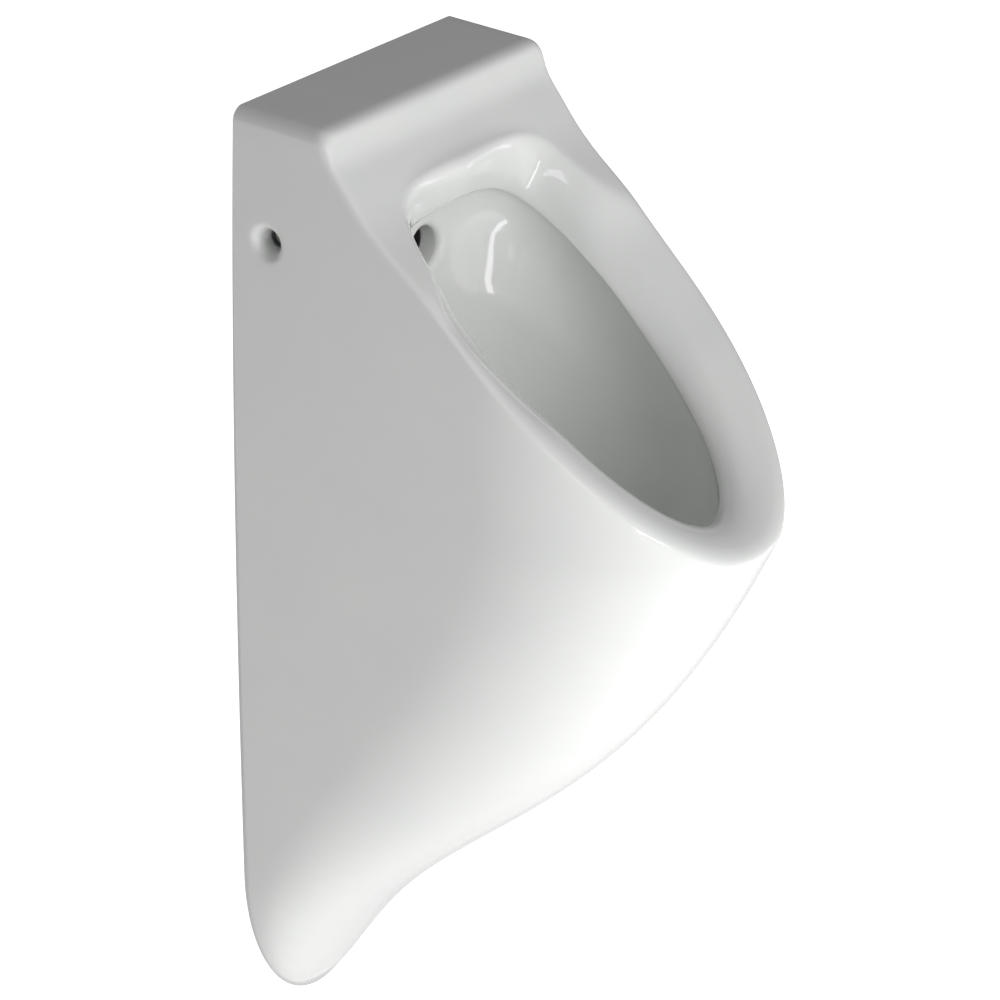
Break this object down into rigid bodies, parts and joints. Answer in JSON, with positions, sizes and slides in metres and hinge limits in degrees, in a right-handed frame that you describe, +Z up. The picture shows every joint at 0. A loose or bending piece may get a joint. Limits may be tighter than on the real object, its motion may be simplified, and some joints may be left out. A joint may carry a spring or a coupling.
{
  "type": "wall hung urinal",
  "caption": "Slim wall hung urinal in white glazed ceramic: swept open bowl, flush inlet in the back wall, lift-out strainer and dip tube, concealed bottle trap and side fixing brackets.",
  "frame": {"origin": "where the axis of the flush inlet meets the wall plane", "axes": "+X to the right of a person facing the urinal, +Y into the wall, +Z up; -Y is the open front"},
  "size_m": [0.24, 0.3872, 0.702],
  "materials": {
    "glazed_ceramic": "glossy white glaze on vitreous china",
    "zinc_steel": "zinc plated",
    "stainless_steel": "brushed stainless",
    "chromed_brass": "bright chrome on brass",
    "white_plastic": "moulded, half gloss",
    "grey_nylon": "moulded, matt",
    "black_rubber": "matt moulded"
  },
  "bodies": {
    "ware": {"ceramic_body": "glazed_ceramic", "left_bracket": "zinc_steel", "right_bracket": "zinc_steel", "bracket_weld_nuts": "zinc_steel", "side_set_screws": "zinc_steel", "side_hole_sleeves": "grey_nylon", "wall_screws": "zinc_steel", "wall_screw_washers": "zinc_steel", "wall_plugs": "grey_nylon", "flush_pipe": "white_plastic", "inlet_seal": "black_rubber", "waste_body": "chromed_brass", "waste_top_seal": "black_rubber", "waste_lower_seal": "black_rubber", "waste_lock_nut": "white_plastic", "union_nut": "white_plastic", "union_washer": "black_rubber", "trap_bottle": "white_plastic", "slip_nut": "white_plastic", "slip_washer": "black_rubber", "outlet_pipe": "white_plastic", "wall_drain_seal": "black_rubber"},
    "strainer": {"strainer": "stainless_steel"},
    "dip_tube": {"dip_tube": "white_plastic", "dip_tube_ring": "black_rubber"}
  },
  "joints": [
    {"name": "strainer_lift", "type": "slide", "parent": "ware", "child": "strainer", "axis": [0, 0, 1], "range_m": [0, 0.2]},
    {"name": "dip_tube_lift", "type": "slide", "parent": "ware", "child": "dip_tube", "axis": [0, 0, 1], "range_m": [0, 0.14]}
  ],
  "couplings": [
    {"joint": "dip_tube_lift", "follows": "strainer_lift", "ratio": 0.7}
  ]
}
